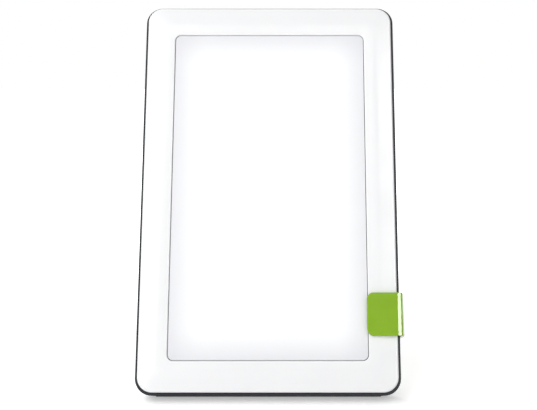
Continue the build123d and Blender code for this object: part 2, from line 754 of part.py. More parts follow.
# ---- stand clip: a green U that slides over the right edge, with two hinge knuckles behind ----
clip_bottom = level(clip_v)
front_pad_seat = clip_front_t - pad_sink
rear_pad_seat = clip_rear_t + pad_sink
pad_place = (clip_inner_u - clip_reach / 2, clip_centre_v)
with BuildPart() as stand_clip:
    with BuildSketch(clip_bottom):
        with BuildLine():
            Polyline((clip_shoulder_u, clip_front + clip_facet_drop), (clip_facet_u, clip_front),
                     (clip_edge_u, clip_front),
                     (clip_edge_u, clip_front_t), (clip_inner_u, clip_front_t),
                     (clip_inner_u, clip_rear_t), (hinge_u, clip_rear_t),
                     (hinge_u, clip_plate_back), (clip_shoulder_u, clip_plate_back))
            ThreePointArc((clip_shoulder_u, clip_plate_back), (clip_outer_u, body_depth / 2),
                          (clip_shoulder_u, clip_front + clip_facet_drop))
        make_face()
    extrude(amount=clip_height)
    outer_bends = stand_clip.edges().filter_by(
        lambda edge: abs(face.to_local_coords(edge @ 0.5).X - clip_shoulder_u) < 1e-4
        and abs(edge.length - clip_height) < 1e-4)
    fillet(outer_bends, clip_bend_radius)
    tab_corners = stand_clip.edges().filter_by(
        lambda edge: abs(face.to_local_coords(edge @ 0.5).X - clip_edge_u) < 1e-4
        and abs(edge.length - clip_thickness) < 1e-4)
    fillet(tab_corners, clip_corner_radius)
    with BuildSketch(level(clip_v, hinge_u, hinge_t)) as knuckle_outline:
        Circle(knuckle_radius)
    extrude(knuckle_outline.sketch, amount=clip_height)
    with BuildSketch(level(clip_v + knuckle_length, hinge_u, hinge_t)) as leg_room:
        Rectangle(2 * (knuckle_radius + leg_root_gap), 4 * knuckle_radius)
    extrude(leg_room.sketch, amount=clip_height - 2 * knuckle_length, mode=Mode.SUBTRACT)
    with BuildSketch(level(clip_v, hinge_u, hinge_t)) as pin_room:
        Circle(hinge_pin_radius)
    extrude(pin_room.sketch, amount=clip_height, mode=Mode.SUBTRACT)
    block(pad_width, pad_length, front_pad_seat, clip_front_t, [pad_place],
          mode=Mode.SUBTRACT)
    block(pad_width, pad_length, clip_rear_t, rear_pad_seat, [pad_place],
          mode=Mode.SUBTRACT)
save(stand_clip, "stand_clip")

with BuildPart() as clip_pads:
    slab(pad_width, pad_length, pad_corner_radius, front_pad_seat, -pad_gap, [pad_place])
    slab(pad_width, pad_length, pad_corner_radius, body_depth + pad_gap, rear_pad_seat,
         [pad_place])
save(clip_pads, "clip_pads")

with BuildPart() as hinge_pin:
    with BuildSketch(level(clip_v, hinge_u, hinge_t)):
        Circle(hinge_pin_radius)
    extrude(amount=clip_height)
save(hinge_pin, "hinge_pin")

# ---- stand leg: a plate that swings on the pin, with a stop heel that meets the clip ----
leg_plane = Plane(origin=at(hinge_u, clip_v, hinge_t),
                  x_dir=at(-leg_cos, 0, leg_sin) - at(0, 0, 0), z_dir=face.y_dir)
knuckle_low = knuckle_length + knuckle_gap
with BuildPart() as stand_leg:
    with BuildSketch(leg_plane):
        with Locations((leg_length / 2, 0)):
            Rectangle(leg_length, leg_thickness)
    extrude(amount=clip_height)
    with BuildSketch(leg_plane) as root_room:
        Rectangle(2 * (knuckle_radius + leg_root_gap), 4 * knuckle_radius)
    extrude(root_room.sketch, amount=knuckle_low, mode=Mode.SUBTRACT)
    extrude(root_room.sketch.moved(Location(face.y_dir * (clip_height - knuckle_low))),
            amount=knuckle_low, mode=Mode.SUBTRACT)
    with BuildSketch(level(clip_v + knuckle_low, hinge_u, hinge_t)) as barrel:
        Circle(knuckle_radius)
    extrude(barrel.sketch, amount=leg_knuckle_length)
    with BuildSketch(level(clip_v + knuckle_low)) as heel:
        with Locations((hinge_u + stop_reach / 2,
                        clip_plate_back + stop_gap + stop_thickness / 2)):
            Rectangle(stop_reach, stop_thickness)
    extrude(heel.sketch, amount=leg_knuckle_length)
    with BuildSketch(level(clip_v, hinge_u, hinge_t)) as running_bore:
        Circle(hinge_pin_radius + hinge_running_clearance)
    extrude(running_bore.sketch, amount=clip_height, mode=Mode.SUBTRACT)
    end_corners = stand_leg.edges().filter_by(
        lambda edge: leg_plane.to_local_coords(edge @ 0.5).X > leg_length - 1e-4
        and abs(edge.length - leg_thickness) < 1e-4)
    fillet(end_corners.sort_by(Axis(leg_plane.origin, leg_plane.z_dir))[-1:],
           leg_corner_radius)
save(stand_leg, "stand_leg")

# ---- rubber foot: a shoe round the leg's low corner, cut level with the table ----
with BuildPart() as leg_foot:
    with BuildSketch(leg_plane.offset(-leg_foot_drop)):
        with Locations((leg_length + leg_foot_wall - leg_foot_length / 2, 0)):
            RectangleRounded(leg_foot_length, 2 * leg_foot_half, leg_foot_wall)
    extrude(amount=leg_foot_drop + leg_foot_rise)
    add(stand_leg.part, mode=Mode.SUBTRACT)
    split(bisect_by=Plane.XY, keep=Keep.TOP)
save(leg_foot, "leg_foot")
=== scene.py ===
# %% [markdown]
# A slim light therapy lamp that leans back on a clip-on swing stand.
# The CAD model comes in first as a fixed frame, in metres. The cells after it dress that frame:
# shells with soft edges, finishes made of shader nodes, a pale studio and a camera.

# %% Load the frame
import json
import math

import bmesh
import bpy
import numpy as np
from mathutils import Matrix, Vector


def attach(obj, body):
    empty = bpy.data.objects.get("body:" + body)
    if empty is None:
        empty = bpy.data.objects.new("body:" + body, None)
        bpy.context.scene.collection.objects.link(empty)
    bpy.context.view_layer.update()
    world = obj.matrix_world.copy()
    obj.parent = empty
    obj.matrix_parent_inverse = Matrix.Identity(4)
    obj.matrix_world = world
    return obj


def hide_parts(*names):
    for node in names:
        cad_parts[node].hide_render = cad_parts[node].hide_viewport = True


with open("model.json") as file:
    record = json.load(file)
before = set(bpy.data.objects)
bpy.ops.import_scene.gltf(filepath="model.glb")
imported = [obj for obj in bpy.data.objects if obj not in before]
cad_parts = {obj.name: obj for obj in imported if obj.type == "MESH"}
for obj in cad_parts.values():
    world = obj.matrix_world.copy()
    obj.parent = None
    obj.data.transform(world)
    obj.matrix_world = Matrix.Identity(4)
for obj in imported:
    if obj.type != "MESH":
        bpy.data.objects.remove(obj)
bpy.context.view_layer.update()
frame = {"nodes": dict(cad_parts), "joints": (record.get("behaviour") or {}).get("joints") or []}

mm = 0.001
bpy.context.scene.view_settings.view_transform = "Standard"

# %% [markdown]
# The lamp leans, so its own directions are not the world's. Two joints already know them: the
# leg swings about the line that runs up the face, and the button is pushed towards the front.
# Every piece below is drawn in those directions, as across, up and depth behind the front.

# %% The lamp's own directions
joints = {joint["name"]: joint for joint in frame["joints"]}
up = Vector(joints["leg_swing"]["axis"])
out = Vector(joints["button_push"]["axis"])
across = up.cross(out)


def spans(node):
    """Lowest and highest across, up and depth of a CAD node, before the face's centre is known."""
    points = np.array([vertex.co[:] for vertex in frame["nodes"][node].data.vertices])
    local = points @ np.array([across[:], up[:], (-out)[:]]).T
    return local.min(axis=0), local.max(axis=0)


shell_low, shell_high = spans("rear_shell")
bezel_low = spans("front_frame")[0]
middle = (shell_low + shell_high) / 2
face_centre = across * middle[0] + up * middle[1] - out * bezel_low[2]


def at(u, v, t):
    """The point across u, up v and at depth t, all in metres from the face's centre."""
    return face_centre + across * u + up * v - out * t


def span(node):
    """A node's lowest and highest across, up and depth, measured from the face's centre."""
    low, high = spans(node)
    shift = np.array([middle[0], middle[1], bezel_low[2]])
    return low - shift, high - shift


body_width, body_height = (shell_high - shell_low)[:2]
body_depth = shell_high[2] - bezel_low[2]
print("lamp (mm):", [round(float(x) / mm, 1) for x in (body_width, body_height, body_depth)])

# %% [markdown]
# The camera comes before the looks, so that every finish is judged from the right place. It
# stands straight out from the face's lower edge, a little to the right, and looks slightly up.
# The lens, the distance and the small shift were solved from the window's corners.

# %% Camera
camera_across = 13.4 * mm
camera_up = -124.9 * mm
camera_distance = 548 * mm
camera_tilt = math.radians(12)
camera_focal_px = 929
frame_width_px = 537
sensor_width = 36

camera_data = bpy.data.cameras.new("camera")
camera_data.sensor_fit = "HORIZONTAL"
camera_data.sensor_width = sensor_width
camera_data.lens = camera_focal_px * sensor_width / frame_width_px
camera_data.shift_x = -0.0416
camera_data.shift_y = 0.0006
camera_data.clip_start = 0.01
camera = bpy.data.objects.new("camera", camera_data)
bpy.context.scene.collection.objects.link(camera)
view_back = out * math.cos(camera_tilt) - up * math.sin(camera_tilt)
view_up = up * math.cos(camera_tilt) + out * math.sin(camera_tilt)
camera.matrix_world = Matrix((
    (across.x, view_up.x, view_back.x, 0),
    (across.y, view_up.y, view_back.y, 0),
    (across.z, view_up.z, view_back.z, 0),
    (0, 0, 0, 1)))
camera.location = at(camera_across, camera_up, -camera_distance)
bpy.context.scene.camera = camera
print("camera at", [round(c, 3) for c in camera.location])

# %% [markdown]
# Shader maths reads best as Python expressions. One small class wraps a socket and adds a Math
# node for each operator. Every other node comes from one method of the tree that it stands in.

# %% Shader kit


class Value:
    """A number that varies over a surface. Arithmetic on it adds Math nodes."""

    def __init__(self, nodes, socket):
        self.nodes = nodes
        self.socket = socket

    def maths(self, operation, first, second=None):
        values = {0: first} if second is None else {0: first, 1: second}
        return self.nodes.node("ShaderNodeMath", {"operation": operation}, values)

    def __add__(self, other):
        return self.maths("ADD", self, other)

    def __radd__(self, other):
        return self.maths("ADD", other, self)

    def __sub__(self, other):
        return self.maths("SUBTRACT", self, other)

    def __rsub__(self, other):
        return self.maths("SUBTRACT", other, self)

    def __mul__(self, other):
        return self.maths("MULTIPLY", self, other)

    def __rmul__(self, other):
        return self.maths("MULTIPLY", other, self)

    def __abs__(self):
        return self.maths("ABSOLUTE", self)

    def sine(self):
        return self.maths("SINE", self)

    def smallest(self, other):
        return self.maths("MINIMUM", self, other)

    def largest(self, other):
        return self.maths("MAXIMUM", self, other)


class Nodes:
    """A tree of shader nodes. Every node in it comes from one method."""

    def __init__(self, tree):
        self.tree = tree

    def node(self, kind, settings=None, values=None, output=0):
        """Add a node, set it up, give its sockets values or links, and return one output."""
        made = self.tree.nodes.new(kind)
        for setting, value in (settings or {}).items():
            setattr(made, setting, value)
        for socket, value in (values or {}).items():
            if isinstance(value, Value):
                self.tree.links.new(value.socket, made.inputs[socket])
            else:
                made.inputs[socket].default_value = value
        return Value(self, made.outputs[output])


class Finish(Nodes):
    """One material: its nodes, its shader, and shortcuts for the patterns used below."""

    def __init__(self, name, base_color, roughness, **constants):
        self.material = bpy.data.materials.new(name)
        self.material.use_nodes = True
        super().__init__(self.material.node_tree)
        self.shader = self.tree.nodes["Principled BSDF"]
        self.material.diffuse_color = (*base_color, 1)
        self.shader.inputs["Base Color"].default_value = (*base_color, 1)
        self.shader.inputs["Roughness"].default_value = roughness
        for socket, value in constants.items():
            self.shader.inputs[socket.replace("_", " ")].default_value = value
        print("finish:", name)

    def place(self):
        """Object coordinates: the point on the piece, in metres."""
        return self.node("ShaderNodeTexCoord", output="Object")

    def noise(self, size, detail=3.0):
        """Noise from 0 to 1 whose blobs are about size metres across."""
        return self.node("ShaderNodeTexNoise", None,
                         {"Vector": self.place(), "Scale": 1 / size, "Detail": detail},
                         output="Fac")

    def spread(self, value, low, high):
        """Noise, which gathers about a half, stretched to run from low to high."""
        return self.node("ShaderNodeMapRange", {"clamp": True},
                         {"Value": value, "From Min": 0.3, "From Max": 0.7,
                          "To Min": low, "To Max": high})

    def mix(self, factor, first, second):
        """A colour from first, where factor is 0, to second, where it is 1."""
        return self.node("ShaderNodeMix", {"data_type": "RGBA"},
                         {0: factor, 6: (*first, 1), 7: (*second, 1)}, output=2)

    def feed(self, socket, value):
        """Drive a socket of the shader with a varying value."""
        self.tree.links.new(value.socket, self.shader.inputs[socket])

    def shades(self, pattern, dark, light):
        """Let the base colour run from dark to light with a noise."""
        self.feed("Base Color", self.mix(self.spread(pattern, 0.0, 1.0), dark, light))

    def gloss(self, pattern, low, high):
        """Let the roughness run from low to high with a noise."""
        self.feed("Roughness", self.spread(pattern, low, high))

    def bump(self, height, distance, strength=1.0):
        """Raise the surface by height, which runs from 0 to 1, times distance in metres."""
        relief = self.node("ShaderNodeBump", None,
                           {"Height": height, "Distance": distance, "Strength": strength},
                           output="Normal")
        self.feed("Normal", relief)


print("shader kit ready")

# %% [markdown]
# Some patterns follow the lamp's own directions, for example the glow that fades towards the
# window's edge. A dot product of the point with a direction gives its distance along it.

# %% Distances along the lamp


def along(finish, direction, origin):
    """How far the point lies from origin along a direction, in metres."""
    dot = finish.node("ShaderNodeVectorMath", {"operation": "DOT_PRODUCT"},
                      {0: finish.place(), 1: tuple(direction)}, output="Value")
    return dot - direction.dot(origin)


def ease(finish, value, low, high):
    """A smooth step from 0, where value is low, to 1, where it is high."""
    return finish.node("ShaderNodeMapRange", {"interpolation_type": "SMOOTHSTEP"},
                       {"Value": value, "From Min": low, "From Max": high,
                        "To Min": 0.0, "To Max": 1.0})


# %% [markdown]
# The bezel is moulded in white ABS and polished. Polished plastic is never perfectly even: the
# surface carries a very faint orange peel, and fingers leave slightly duller places. So noise
# drives the roughness a little, and a second, finer noise raises the surface by a few microns.

# %% Finish: glossy white bezel
finishes = {}
white = Finish("frame_white_gloss", (0.86, 0.865, 0.872), 0.2, Specular_IOR_Level=0.35)
white.gloss(white.noise(18 * mm), 0.15, 0.24)
white.shades(white.noise(40 * mm), (0.855, 0.86, 0.868), (0.868, 0.872, 0.878))
white.bump(white.noise(2.2 * mm, detail=1.0), 0.006 * mm)
finishes["frame_white"] = white

# %% [markdown]
# The rear shell is dark ABS from a spark-eroded mould, which leaves a fine, even grain. Two
# noises, one twice as fine as the other, give the grain. The tops of the grain are a little
# lighter and smoother, as they are where hands rub them.

# %% Finish: grained anthracite shell
shell = Finish("shell_grained", (0.015, 0.018, 0.023), 0.5, Specular_IOR_Level=0.22)
grain = shell.noise(0.45 * mm, detail=2.0) * 0.65 + shell.noise(0.2 * mm, detail=1.0) * 0.35
shell.shades(grain, (0.009, 0.011, 0.015), (0.024, 0.028, 0.035))
shell.gloss(grain, 0.58, 0.4)
shell.bump(grain, 0.05 * mm, 0.8)
finishes["shell_anthracite"] = shell

# %% [markdown]
# The window is opal acrylic. LEDs along both long sides light it through a guide plate, so it
# glows evenly and falls off only near its edges and corners. The glow is an emission colour that
# depends on the distance to the nearest edge. The acrylic's own milky white does the rest.

# %% Finish: lit opal window
opal = Finish("opal_window", (0.63, 0.635, 0.65), 0.4, Emission_Strength=1.0)
window_half = (59.0, 101.0)
glow_start, glow_reach = -12 * mm, 22 * mm
from_side = window_half[0] * mm - abs(along(opal, across, face_centre))
from_end = window_half[1] * mm - abs(along(opal, up, face_centre))
glow = (ease(opal, from_side, glow_start, glow_reach)
        * ease(opal, from_end, glow_start, glow_reach))
opal.feed("Emission Color", opal.mix(glow, (0.045, 0.045, 0.06), (0.32, 0.32, 0.32)))
opal.gloss(opal.noise(1.2 * mm), 0.34, 0.46)
opal.bump(opal.noise(0.5 * mm, detail=1.0), 0.004 * mm)
finishes["opal_acrylic"] = opal

# %% [markdown]
# The stand is moulded in a bright green and polished. Pigment in a strong colour streaks a little
# as it flows, so a soft noise mixes two close greens. A second one keeps the gloss from being
# perfectly even.

# %% Finish: polished green stand
green = Finish("stand_green_polished", (0.228, 0.42, 0.008), 0.1, Specular_IOR_Level=0.32)
green.shades(green.noise(9 * mm, detail=2.0), (0.22, 0.41, 0.006), (0.236, 0.43, 0.01))
green.gloss(green.noise(3 * mm), 0.08, 0.13)
green.bump(green.noise(1.6 * mm, detail=1.0), 0.004 * mm)
finishes["stand_green"] = green

# %% [markdown]
# Rubber is dull and dark, and dust and wear grey it in patches. Foam is the same idea with open
# cells, which a Voronoi texture gives better than noise does.

# %% Finishes: rubber and foam
rubber = Finish("rubber_dull", (0.02, 0.02, 0.021), 0.75)
rubber.shades(rubber.noise(3 * mm), (0.014, 0.014, 0.015), (0.03, 0.03, 0.031))
rubber.gloss(rubber.noise(1 * mm), 0.66, 0.84)
rubber.bump(rubber.noise(0.4 * mm), 0.03 * mm)
finishes["rubber_black"] = rubber

foam = Finish("foam_cells", (0.03, 0.031, 0.035), 0.9)
cells = foam.node("ShaderNodeTexVoronoi", None, {"Vector": foam.place(), "Scale": 1 / (0.5 * mm)},
                  output="Distance")
foam.feed("Base Color", foam.mix(cells, (0.02, 0.021, 0.025), (0.06, 0.062, 0.07)))
foam.bump(cells, 0.15 * mm)
finishes["foam_black"] = foam

# %% [markdown]
# The metal parts differ in how they were made. Screws are zinc-plated steel, with a cloudy
# plating. Sheet aluminium was rolled, so its noise is stretched along the rolling direction. The
# button's ring was turned, which leaves fine circles round its own axis.

# %% Finishes: metals
steel = Finish("steel_zinc_plated", (0.58, 0.59, 0.6), 0.3, Metallic=1.0)
cloud = steel.noise(1.5 * mm)
steel.shades(cloud, (0.52, 0.53, 0.54), (0.64, 0.65, 0.66))
steel.gloss(cloud, 0.24, 0.38)
finishes["steel"] = steel

sheet = Finish("aluminium_rolled", (0.76, 0.77, 0.78), 0.35, Metallic=1.0)
streak_stretch, streak_scale = (40.0, 1.0, 1.0), 60.0
rolled = sheet.node("ShaderNodeVectorMath", {"operation": "MULTIPLY"},
                    {0: sheet.place(), 1: streak_stretch})
streaks = sheet.node("ShaderNodeTexNoise", None,
                     {"Vector": rolled, "Scale": streak_scale, "Detail": 3.0}, output="Fac")
sheet.gloss(streaks, 0.26, 0.44)
sheet.bump(streaks, 0.01 * mm)
finishes["sheet_aluminium"] = sheet

contact = Finish("contact_plated", (0.72, 0.6, 0.36), 0.25, Metallic=1.0)
contact.gloss(contact.noise(1 * mm), 0.2, 0.34)
finishes["contact_metal"] = contact

# %% [markdown]
# The button's ring was turned on a lathe, so its marks are round. The distance from the button's
# own axis, taken with Vector Math, drives them. The cap is plastic with a fine, soft grain.

# %% Finishes: button and ring
button_low, button_high = span("power_button")
button_middle = (button_low + button_high) / 2
button_centre = at(button_middle[0], button_middle[1], 0)


def from_axis(finish, centre, axis):
    """Distance of the point from a line through centre along axis, in metres."""
    offset = finish.node("ShaderNodeVectorMath", {"operation": "SUBTRACT"},
                         {0: finish.place(), 1: tuple(centre)})
    crossed = finish.node("ShaderNodeVectorMath", {"operation": "CROSS_PRODUCT"},
                          {0: offset, 1: tuple(axis)})
    return finish.node("ShaderNodeVectorMath", {"operation": "LENGTH"}, {0: crossed},
                       output="Value")


ring = Finish("ring_turned", (0.62, 0.63, 0.64), 0.28, Metallic=1.0)
radius = from_axis(ring, button_centre, out)
tool_step = 0.18 * mm
tool_marks = (radius * (2 * math.pi / tool_step)).sine() * 0.5 + 0.5
ring.feed("Roughness", tool_marks * 0.12 + 0.22)
ring.bump(tool_marks, 0.004 * mm)
finishes["ring_silver"] = ring

cap = Finish("button_soft_grey", (0.3, 0.31, 0.32), 0.42)
cap.shades(cap.noise(2.5 * mm), (0.27, 0.28, 0.29), (0.33, 0.34, 0.35))
cap.gloss(cap.noise(0.6 * mm), 0.36, 0.5)
cap.bump(cap.noise(0.25 * mm), 0.01 * mm)
finishes["button_grey"] = cap

# %% [markdown]
# The label is a silver-grey polyester sticker with nothing on it but a thin printed border. The
# border is where the distance to the label's edge lies between two values.

# %% Finish: blank label with a border
label_low, label_high = span("rating_label")
label_middle = (label_low + label_high) / 2
label_half = (label_high - label_low) / 2
label = Finish("label_polyester", (0.42, 0.43, 0.44), 0.35)
label_centre = at(label_middle[0], label_middle[1], label_middle[2])
label_side = float(label_half[0]) - abs(along(label, across, label_centre))
label_end = float(label_half[1]) - abs(along(label, up, label_centre))
label_inset = label_side.smallest(label_end)
border_start, border_end, border_blur = 1.3 * mm, 1.65 * mm, 0.1 * mm
line = (ease(label, label_inset, border_start, border_start + border_blur)
        * (1 - ease(label, label_inset, border_end, border_end + border_blur)))
label.feed("Base Color", label.mix(line, (0.42, 0.43, 0.44), (0.06, 0.06, 0.065)))
label.gloss(label.noise(0.5 * mm), 0.3, 0.42)
finishes["label_grey"] = label

# %% [markdown]
# The rest sits inside the case: boards, plastics, film and wires. Each still gets its own
# colours, grain and roughness, so an opened lamp would look right. One table makes them all.

# %% Finishes: the parts inside
inside = {
    "film_white": ("film_matt", (0.84, 0.84, 0.85), (0.9, 0.9, 0.9), 0.5, 0.8 * mm, 0.0),
    "inner_white": ("inner_white_plastic", (0.74, 0.74, 0.73), (0.8, 0.8, 0.79), 0.45, 3 * mm, 0.0),
    "board_green": ("board_solder_mask", (0.008, 0.07, 0.028), (0.012, 0.1, 0.04), 0.3, 2 * mm, 0.0),
    "board_white": ("board_white_mask", (0.72, 0.73, 0.72), (0.8, 0.8, 0.79), 0.35, 2 * mm, 0.0),
    "led_package": ("led_ceramic", (0.8, 0.66, 0.2), (0.88, 0.76, 0.3), 0.3, 0.6 * mm, 0.0),
    "black_plastic": ("black_plastic", (0.012, 0.012, 0.013), (0.026, 0.026, 0.028), 0.42,
                      0.8 * mm, 0.0),
    "capacitor_sleeve": ("capacitor_sleeve", (0.01, 0.012, 0.03), (0.02, 0.022, 0.05), 0.3,
                         2 * mm, 0.0),
    "ferrite_grey": ("ferrite_grey", (0.05, 0.05, 0.052), (0.09, 0.09, 0.092), 0.6, 0.5 * mm, 0.0),
    "wire_red": ("wire_sleeve", (0.4, 0.012, 0.01), (0.5, 0.02, 0.015), 0.35, 1.5 * mm, 0.0),
    "clear_acrylic": ("guide_acrylic", (0.9, 0.92, 0.92), (0.95, 0.96, 0.96), 0.08, 4 * mm, 1.0),
}
for slot, (name, dark, light, gloss, size, clear) in inside.items():
    made = Finish(name, dark, gloss, Transmission_Weight=clear, IOR=1.49)
    patches = made.spread(made.noise(size), 0.0, 1.0)
    made.feed("Base Color", made.mix(patches, dark, light))
    made.feed("Roughness", patches * 0.1 + (gloss - 0.05))
    made.bump(patches, 0.006 * mm)
    finishes[slot] = made
print("finishes:", len(finishes))

# %% [markdown]
# Every CAD node names its slot in its material. The finish with the same name takes its place,
# on the nodes that stay and on those that a softer piece will stand for.

# %% Dress the CAD nodes
for node, solid in frame["nodes"].items():
    for holder in solid.material_slots:
        holder.material = finishes[holder.material.name.split(".")[0]].material
print("dressed:", len(frame["nodes"]))

# %% [markdown]
# Moulded parts are lofts: a stack of loops with equally many points, joined by quads. One small
# kit builds every loft here. It welds, turns the faces outwards, and marks only real corners as
# sharp, so that round edges shade smoothly.

# %% Mesh kit


class Shape:
    """Points and faces gathered from one or more lofts, in metres."""

    def __init__(self):
        self.points = []
        self.faces = []

    def loft(self, loops, ring=False):
        """Join loops by quads. A ring closes on its first loop, and otherwise both ends close."""
        count = len(loops[0])
        start = len(self.points)
        for loop in loops:
            self.points.extend(loop)
        rows = len(loops) if ring else len(loops) - 1
        for row in range(rows):
            low = start + row * count
            high = start + (row + 1) % len(loops) * count
            for k in range(count):
                after = (k + 1) % count
                self.faces.append((low + k, low + after, high + after, high + k))
        if not ring:
            last = start + (len(loops) - 1) * count
            self.faces.append(tuple(range(start, start + count)))
            self.faces.append(tuple(range(last, last + count)))
        return self

    def mesh(self, name, sharp_angle=35):
        """The shape as a welded mesh whose faces point outwards."""
        mesh = bpy.data.meshes.new(name)
        mesh.from_pydata([tuple(point) for point in self.points], [], self.faces)
        build = bmesh.new()
        build.from_mesh(mesh)
        bmesh.ops.remove_doubles(build, verts=build.verts, dist=0.001 * mm)
        bmesh.ops.recalc_face_normals(build, faces=build.faces)
        build.to_mesh(mesh)
        build.free()
        mesh.shade_smooth()
        mesh.set_sharp_from_angle(angle=math.radians(sharp_angle))
        return mesh


def place_piece(name, mesh, slot, body, *nodes):
    """Dress a mesh, let it ride on a CAD body, and let it stand for CAD nodes."""
    piece = bpy.data.objects.new(name, mesh)
    bpy.context.scene.collection.objects.link(piece)
    mesh.materials.clear()
    mesh.materials.append(finishes[slot].material)
    weighted = piece.modifiers.new("even shading", "WEIGHTED_NORMAL")
    weighted.keep_sharp = True
    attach(piece, body)
    if nodes:
        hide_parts(*nodes)
    print(name, "faces:", len(mesh.polygons))


def arc(centre, radius, start, end, steps):
    """Points in a plane along an arc, from start to end in degrees."""
    return [(centre[0] + radius * math.cos(math.radians(a)),
             centre[1] + radius * math.sin(math.radians(a)))
            for a in np.linspace(start, end, steps)]


def rounded_rectangle(left, right, low, high, radius, steps):
    """A rectangle's outline in a plane. Each corner is an arc of so many points."""
    centres = ((right - radius, high - radius), (left + radius, high - radius),
               (left + radius, low + radius), (right - radius, low + radius))
    return [point for turn, centre in enumerate(centres)
            for point in arc(centre, radius, 90 * turn, 90 * turn + 90, steps)]


corner_steps = 14


def rounded_loop(half_width, half_height, radius, depth):
    """A rounded rectangle about the face's centre, at one depth. All sizes are in mm."""
    outline = rounded_rectangle(-half_width, half_width, -half_height, half_height, radius,
                                corner_steps)
    return [at(u * mm, v * mm, depth * mm) for u, v in outline]


# %% [markdown]
# The bezel is the face of the lamp. Its outer band falls away by about a millimetre, which is
# what catches the light along the sides, and its front edge is rolled over. The land beside the
# window is dished a little. A loft of rounded rectangles follows that section all the way round.
# The crease between band and land is a short curve, because a polished mould has no sharp crease.

# %% Bezel section
bezel_half = (76.25, 119.12)
bezel_radius, crease_corner, window_radius = 9.0, 6.0, 3.5
facet_reach, facet_drop = 10.1, 1.06
window_inset = bezel_half[0] - window_half[0]
end_narrowing = window_half[1] + window_inset - bezel_half[1]
crease_half = 1.6
roll = 1.2
land_dish = 0.16
window_roll = 0.7
bezel_thickness, side_depth, tongue_end = 2.6, 5.2, 9.0
wall, tongue_inset = 1.95, 0.85
side_gap, tongue_chamfer = 0.15, 0.3


def bezel_loop(inset, depth):
    """The bezel's loop at an inset from its outer edge, in mm.

    The window lies a little farther from the ends than from the sides, so the band is wider there.
    """
    narrowing = min(1.0, max(0.0, (inset - roll) / (facet_reach - crease_half - roll)))
    if inset <= facet_reach:
        radius = bezel_radius + (crease_corner - bezel_radius) * inset / facet_reach
    else:
        share = (inset - facet_reach) / (window_inset - facet_reach)
        radius = crease_corner + (window_radius - crease_corner) * share
    return rounded_loop(bezel_half[0] - inset, bezel_half[1] - inset + end_narrowing * narrowing,
                        radius, depth)


facet_angle = math.degrees(math.atan2(facet_drop, facet_reach))
roll_depth = facet_drop + roll * math.tan(math.radians((90 - facet_angle) / 2))
section = [(0.0, side_depth - side_gap), (0.0, roll_depth)]
for angle in np.linspace(0, 90 - facet_angle, 12)[1:]:
    section.append((roll - roll * math.cos(math.radians(angle)),
                    roll_depth - roll * math.sin(math.radians(angle))))
crease_start = facet_drop * crease_half / facet_reach
for step in np.linspace(0, 1, 8):
    section.append((facet_reach - crease_half + 2 * crease_half * step,
                    crease_start * (1 - step) ** 2))
land_start, land_end = facet_reach + crease_half, window_inset - window_roll
for share in (0.25, 0.5, 0.75):
    section.append((land_start + (land_end - land_start) * share, land_dish * share ** 2))
for inset, depth in arc((land_end, window_roll + land_dish), window_roll, -86, 0, 8):
    section.append((inset, depth))
section += [(window_inset, bezel_thickness), (wall, bezel_thickness), (wall, tongue_end),
            (tongue_inset + tongue_chamfer, tongue_end), (tongue_inset, tongue_end - tongue_chamfer),
            (tongue_inset, side_depth), (side_gap, side_depth)]
bezel_shape = Shape().loft([bezel_loop(inset, depth) for inset, depth in section], ring=True)
place_piece("bezel", bezel_shape.mesh("bezel"), "frame_white", "lamp", "front_frame")

# %% [markdown]
# The diffuser is one plate of opal acrylic with a step: its flange is trapped behind the bezel
# and its plateau fills the window, a millimetre below the land. A gap of a third of a millimetre
# runs round it, and the dark foam behind that gap draws the window's fine outline.

# %% Diffuser in the window
flange_half = (62.0, 104.0)
plateau_gap = 0.34
plateau_depth, flange_front, flange_back = 1.0, 3.1, 4.6
plateau_roll = 0.3
face_inset, face_radius = 3.0, 1.0
plateau = (window_half[0] - plateau_gap, window_half[1] - plateau_gap)
plateau_radius = window_radius - plateau_gap
diffuser_loops = [rounded_loop(*flange_half, window_radius, flange_back),
                  rounded_loop(*flange_half, window_radius, flange_front),
                  rounded_loop(*plateau, plateau_radius, flange_front)]
for inset, depth in arc((plateau_roll, plateau_depth + plateau_roll), plateau_roll, 180, 270, 5):
    diffuser_loops.append(rounded_loop(plateau[0] - inset, plateau[1] - inset,
                                       plateau_radius - inset, depth))
diffuser_loops.append(rounded_loop(plateau[0] - face_inset, plateau[1] - face_inset, face_radius,
                                   plateau_depth))
place_piece("diffuser_plate", Shape().loft(diffuser_loops).mesh("diffuser_plate"),
            "opal_acrylic", "lamp", "diffuser")

# %% [markdown]
# The clip is a flat blank folded into a U: a tab in front, a side that bulges outwards, and a
# plate behind that carries the hinge. So it is drawn as a blank is: stations along the fold give
# its inner and outer face, and at each station a loop with rounded edges goes across it. Near
# the tab's end the blank narrows, which rounds its corners.

# %% Blank folded along stations
edge_points = 5


def folded_blank(stations, low, high, edge, corners):
    """A plate along stations of (inner, outer, distance from start, distance from end).

    Inner and outer are points across and in depth, low and high are heights, all in mm.
    Corners gives the corner radius of each end as (start low, start high, end low, end high).
    """
    def pull_in(radius, distance):
        if distance >= radius:
            return 0.0
        return radius - math.sqrt(max(0.0, radius ** 2 - (radius - distance) ** 2))

    loops = []
    for inner, outer, from_start, from_end in stations:
        inner, outer = np.array(inner), np.array(outer)
        thickness = np.linalg.norm(outer - inner)
        nearest = min(from_start, from_end)
        shrink = pull_in(edge, nearest)
        low_pull = max(pull_in(corners[0], from_start), pull_in(corners[2], from_end)) + shrink
        high_pull = max(pull_in(corners[1], from_start), pull_in(corners[3], from_end)) + shrink
        bottom, top = low + low_pull, high - high_pull
        near, far = shrink, thickness - shrink
        radius = min(edge, (far - near) / 2.01)
        loop = []
        for v, h in rounded_rectangle(bottom, top, near, far, radius, edge_points):
            u, t = inner + (outer - inner) * h / thickness
            loop.append(at(u * mm, v * mm, t * mm))
        loops.append(loop)
    return loops


